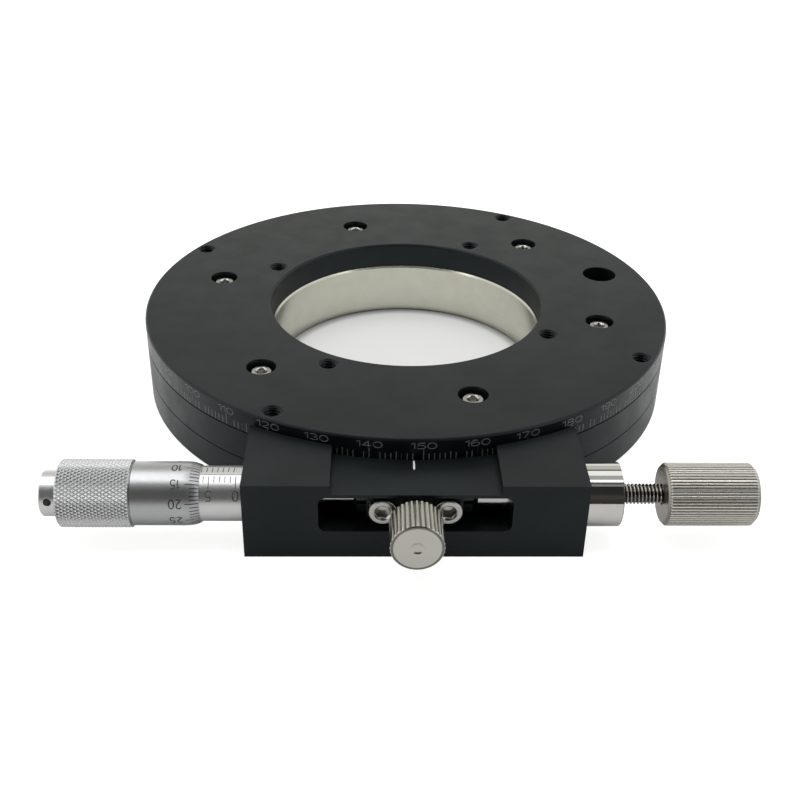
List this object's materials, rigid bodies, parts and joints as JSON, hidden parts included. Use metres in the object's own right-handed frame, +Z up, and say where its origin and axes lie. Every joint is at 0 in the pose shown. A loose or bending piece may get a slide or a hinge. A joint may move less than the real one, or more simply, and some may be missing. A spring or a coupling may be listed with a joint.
{
  "type": "rotation stage",
  "caption": "Flat manual rotation stage with a clear aperture, a graduated free-turning table, a clamp, and a micrometer for fine rotation against a sprung plunger.",
  "frame": {"origin": "on the rotation axis, at the underside of the base", "axes": "+Z up along the rotation axis, +X towards the lock knob, +Y away from the drive housing; the micrometer lies towards -X"},
  "size_m": [0.1339, 0.1422, 0.0185],
  "materials": {
    "black_anodised": "fine matt black anodising on machined faces",
    "nickel_plate": "nickel plating over turned or knurled metal",
    "satin_chrome": "satin chrome",
    "chrome": "bright chrome plating",
    "hardened_steel": "ground",
    "stainless_steel": "bright stainless steel",
    "spring_steel": "drawn wire",
    "brass": "plain brass"
  },
  "bodies": {
    "base": {"base_ring": "black_anodised", "drive_housing": "black_anodised", "housing_screws": "stainless_steel", "bearing_outer_race": "hardened_steel", "bearing_retainer": "black_anodised", "retainer_screws": "stainless_steel", "micrometer_sleeve": "satin_chrome", "sleeve_set_screw": "stainless_steel", "adjusting_nut": "hardened_steel", "plunger_barrel": "chrome", "plunger_spring": "spring_steel"},
    "ball_cage": {"bearing_cage": "brass", "bearing_balls": "hardened_steel"},
    "drive": {"drive_ring": "black_anodised", "drive_lug": "black_anodised", "lug_screws": "stainless_steel", "contact_buttons": "hardened_steel"},
    "table": {"table_plate": "black_anodised", "hub_ring": "nickel_plate", "table_screws": "stainless_steel", "bearing_inner_race": "hardened_steel", "bearing_lock_ring": "black_anodised"},
    "clamp_pad": {"clamp_pad": "brass"},
    "clamp_screw": {"clamp_screw": "stainless_steel", "clamp_knob": "nickel_plate"},
    "spindle": {"spindle": "hardened_steel"},
    "thimble": {"lead_screw": "hardened_steel", "thimble": "satin_chrome", "thimble_end_cap": "satin_chrome"},
    "plunger": {"plunger": "hardened_steel"},
    "lock_tip": {"lock_tip": "brass"},
    "lock_screw": {"lock_screw": "stainless_steel", "lock_knob": "nickel_plate"}
  },
  "joints": [
    {"name": "fine_rotation", "type": "hinge", "parent": "base", "child": "drive", "pos_m": [0, 0, 0], "axis": [0, 0, 1], "range_deg": [-5, 5]},
    {"name": "coarse_rotation", "type": "hinge", "parent": "drive", "child": "table", "pos_m": [0, 0, 0], "axis": [0, 0, 1], "continuous": true},
    {"name": "cage_rotation", "type": "hinge", "parent": "base", "child": "ball_cage", "pos_m": [0, 0, 0], "axis": [0, 0, 1], "continuous": true},
    {"name": "micrometer_slide", "type": "slide", "parent": "base", "child": "spindle", "axis": [1, 0, 0], "range_m": [-0.00575, 0.00575]},
    {"name": "thimble_spin", "type": "hinge", "parent": "spindle", "child": "thimble", "pos_m": [0, -0.0657, 0.01005], "axis": [1, 0, 0], "range_deg": [-4135, 4135]},
    {"name": "plunger_slide", "type": "slide", "parent": "base", "child": "plunger", "axis": [1, 0, 0], "range_m": [-0.00575, 0.00575], "deforming": ["plunger_spring"]},
    {"name": "clamp_slide", "type": "slide", "parent": "drive", "child": "clamp_pad", "axis": [0, 1, 0], "range_m": [-0.003, 0.00025]},
    {"name": "clamp_spin", "type": "hinge", "parent": "clamp_pad", "child": "clamp_screw", "pos_m": [0, -0.06, 0.01005], "axis": [0, 1, 0], "range_deg": [-1545, 130]},
    {"name": "lock_slide", "type": "slide", "parent": "base", "child": "lock_tip", "axis": [-1, 0, 0], "range_m": [-0.0007, 0.002]},
    {"name": "lock_spin", "type": "hinge", "parent": "lock_tip", "child": "lock_screw", "pos_m": [0.0364, -0.0657, 0.01005], "axis": [-1, 0, 0], "range_deg": [-362, 1030]}
  ],
  "couplings": [
    {"joint": "micrometer_slide", "follows": "fine_rotation", "m_per_rad": 0.0657},
    {"joint": "thimble_spin", "follows": "fine_rotation", "ratio": 825.61},
    {"joint": "plunger_slide", "follows": "fine_rotation", "m_per_rad": 0.0657},
    {"joint": "cage_rotation", "follows": "coarse_rotation", "ratio": 0.48},
    {"joint": "clamp_spin", "follows": "clamp_slide", "rad_per_m": 8976},
    {"joint": "lock_spin", "follows": "lock_slide", "rad_per_m": 8976}
  ]
}
